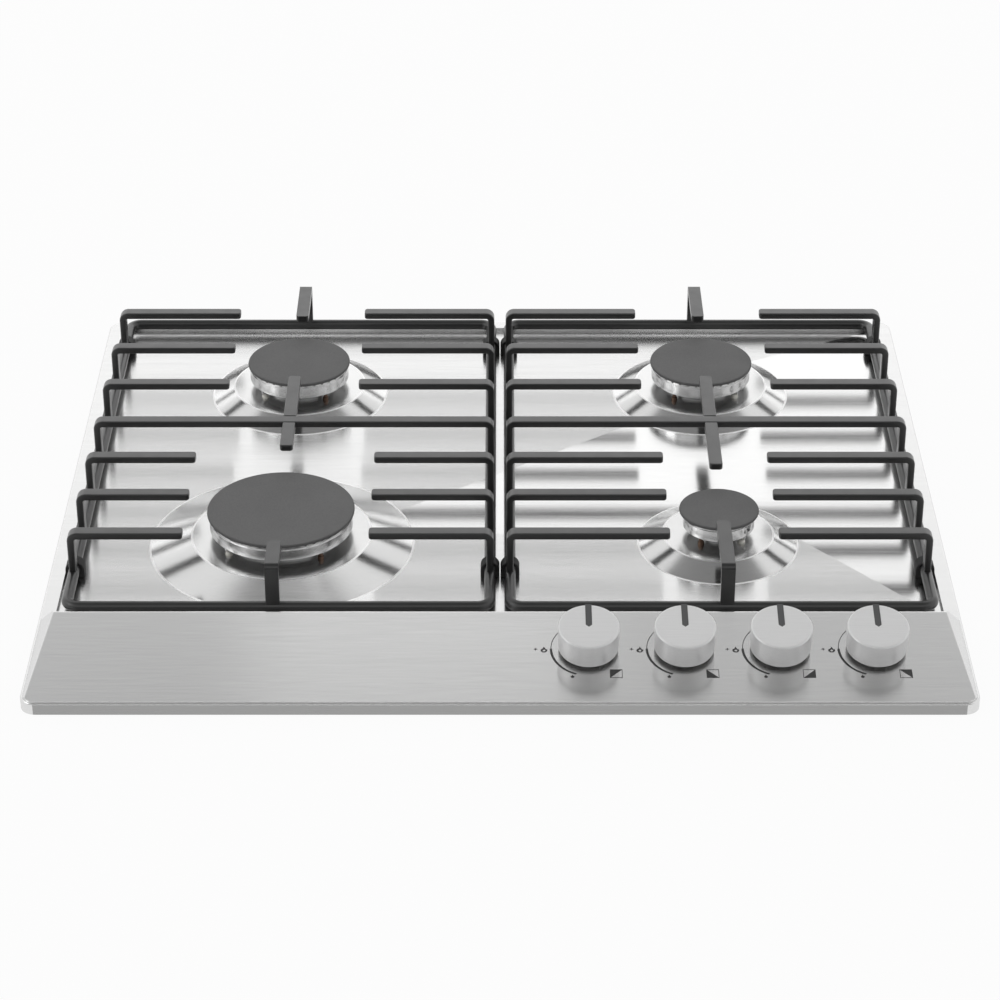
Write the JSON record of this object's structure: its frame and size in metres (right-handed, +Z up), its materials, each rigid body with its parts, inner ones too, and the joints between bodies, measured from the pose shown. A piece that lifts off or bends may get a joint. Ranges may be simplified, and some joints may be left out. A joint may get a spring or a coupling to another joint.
{
  "type": "gas cooktop",
  "caption": "Built-in gas hob: pressed steel plate with a raised sloping control panel, round burners, turn knobs, lift-off bar pan supports and a tray of gas and spark parts below.",
  "frame": {"origin": "centre of the worktop seat: the middle of the cut-out, on the worktop's top face", "axes": "+X to the user's right along the long side, +Y to the rear, +Z up out of the worktop"},
  "size_m": [0.58, 0.51, 0.0859],
  "materials": {
    "stainless": "brushed along X",
    "grate_enamel": "satin black enamel",
    "cap_enamel": "matt black enamel with a fine speckle",
    "crown_aluminium": "polished",
    "knob_silver": "satin silver lacquer",
    "foot_rubber": "moulded",
    "seal_rubber": "closed-cell foam and soft seals",
    "tray_steel": "galvanised sheet",
    "bright_steel": "zinc plated",
    "spring_steel": "drawn",
    "tap_alloy": "die cast",
    "pipe_alloy": "drawn tube",
    "brass": "turned",
    "copper_brass": "copper-coloured probe",
    "ceramic": "glazed white ceramic",
    "black_plastic": "moulded",
    "lead_silicone": "silicone sleeve"
  },
  "bodies": {
    "hob": {"top_plate": "stainless", "rim_seal": "seal_rubber", "base_tray": "tray_steel", "tray_screws": "bright_steel", "clamp_screws": "bright_steel", "worktop_clamps": "tray_steel", "injectors": "brass", "spark_plugs": "ceramic", "spark_wires": "bright_steel", "flame_probes": "copper_brass", "tap_bodies": "tap_alloy", "gas_manifold": "bright_steel", "tap_bracket": "tray_steel", "spindle_seals": "seal_rubber", "ignition_switches": "black_plastic", "supply_pipes": "pipe_alloy", "inlet_elbow": "brass", "cable_gland": "black_plastic", "terminal_block": "black_plastic", "spark_generator": "black_plastic", "spark_leads": "lead_silicone", "front_left_bowl": "tap_alloy", "rear_left_bowl": "tap_alloy", "rear_right_bowl": "tap_alloy", "front_right_bowl": "tap_alloy"},
    "tap_1": {"tap_plug_1": "brass", "tap_spring_1": "spring_steel"},
    "control_1": {"knob_1": "knob_silver", "spindle_1": "bright_steel"},
    "tap_2": {"tap_plug_2": "brass", "tap_spring_2": "spring_steel"},
    "control_2": {"knob_2": "knob_silver", "spindle_2": "bright_steel"},
    "tap_3": {"tap_plug_3": "brass", "tap_spring_3": "spring_steel"},
    "control_3": {"knob_3": "knob_silver", "spindle_3": "bright_steel"},
    "tap_4": {"tap_plug_4": "brass", "tap_spring_4": "spring_steel"},
    "control_4": {"knob_4": "knob_silver", "spindle_4": "bright_steel"},
    "front_left_crown": {"front_left_crown": "crown_aluminium"},
    "front_left_cap": {"front_left_cap": "cap_enamel"},
    "rear_left_crown": {"rear_left_crown": "crown_aluminium"},
    "rear_left_cap": {"rear_left_cap": "cap_enamel"},
    "rear_right_crown": {"rear_right_crown": "crown_aluminium"},
    "rear_right_cap": {"rear_right_cap": "cap_enamel"},
    "front_right_crown": {"front_right_crown": "crown_aluminium"},
    "front_right_cap": {"front_right_cap": "cap_enamel"},
    "left_grate": {"left_grate_frame": "grate_enamel", "left_grate_rear_fingers": "grate_enamel", "left_grate_front_fingers": "grate_enamel", "left_grate_centre_bars": "grate_enamel", "left_grate_feet": "foot_rubber"},
    "right_grate": {"right_grate_frame": "grate_enamel", "right_grate_rear_fingers": "grate_enamel", "right_grate_front_fingers": "grate_enamel", "right_grate_centre_bars": "grate_enamel", "right_grate_feet": "foot_rubber"}
  },
  "joints": [
    {"name": "knob_1_turn", "type": "hinge", "parent": "hob", "child": "tap_1", "pos_m": [0.0541, -0.21, 0.01856], "axis": [0, -0.213, 0.977], "range_deg": [0, 205]},
    {"name": "knob_1_push", "type": "slide", "parent": "tap_1", "child": "control_1", "axis": [0, -0.213, 0.977], "range_m": [-0.0025, 0], "stiffness_N_per_m": 1200, "springref_m": 0.002, "deforming": ["tap_spring_1"]},
    {"name": "knob_2_turn", "type": "hinge", "parent": "hob", "child": "tap_2", "pos_m": [0.1128, -0.21, 0.01856], "axis": [0, -0.213, 0.977], "range_deg": [0, 205]},
    {"name": "knob_2_push", "type": "slide", "parent": "tap_2", "child": "control_2", "axis": [0, -0.213, 0.977], "range_m": [-0.0025, 0], "stiffness_N_per_m": 1200, "springref_m": 0.002, "deforming": ["tap_spring_2"]},
    {"name": "knob_3_turn", "type": "hinge", "parent": "hob", "child": "tap_3", "pos_m": [0.1715, -0.21, 0.01856], "axis": [0, -0.213, 0.977], "range_deg": [0, 205]},
    {"name": "knob_3_push", "type": "slide", "parent": "tap_3", "child": "control_3", "axis": [0, -0.213, 0.977], "range_m": [-0.0025, 0], "stiffness_N_per_m": 1200, "springref_m": 0.002, "deforming": ["tap_spring_3"]},
    {"name": "knob_4_turn", "type": "hinge", "parent": "hob", "child": "tap_4", "pos_m": [0.2302, -0.21, 0.01856], "axis": [0, -0.213, 0.977], "range_deg": [0, 205]},
    {"name": "knob_4_push", "type": "slide", "parent": "tap_4", "child": "control_4", "axis": [0, -0.213, 0.977], "range_m": [-0.0025, 0], "stiffness_N_per_m": 1200, "springref_m": 0.002, "deforming": ["tap_spring_4"]},
    {"name": "front_left_crown_lift", "type": "slide", "parent": "hob", "child": "front_left_crown", "axis": [0, 0, 1], "range_m": [0, 0.03]},
    {"name": "front_left_cap_lift", "type": "slide", "parent": "front_left_crown", "child": "front_left_cap", "axis": [0, 0, 1], "range_m": [0, 0.03]},
    {"name": "rear_left_crown_lift", "type": "slide", "parent": "hob", "child": "rear_left_crown", "axis": [0, 0, 1], "range_m": [0, 0.03]},
    {"name": "rear_left_cap_lift", "type": "slide", "parent": "rear_left_crown", "child": "rear_left_cap", "axis": [0, 0, 1], "range_m": [0, 0.03]},
    {"name": "rear_right_crown_lift", "type": "slide", "parent": "hob", "child": "rear_right_crown", "axis": [0, 0, 1], "range_m": [0, 0.03]},
    {"name": "rear_right_cap_lift", "type": "slide", "parent": "rear_right_crown", "child": "rear_right_cap", "axis": [0, 0, 1], "range_m": [0, 0.03]},
    {"name": "front_right_crown_lift", "type": "slide", "parent": "hob", "child": "front_right_crown", "axis": [0, 0, 1], "range_m": [0, 0.03]},
    {"name": "front_right_cap_lift", "type": "slide", "parent": "front_right_crown", "child": "front_right_cap", "axis": [0, 0, 1], "range_m": [0, 0.03]},
    {"name": "left_grate_lift", "type": "slide", "parent": "hob", "child": "left_grate", "axis": [0, 0, 1], "range_m": [0, 0.06]},
    {"name": "right_grate_lift", "type": "slide", "parent": "hob", "child": "right_grate", "axis": [0, 0, 1], "range_m": [0, 0.06]}
  ]
}
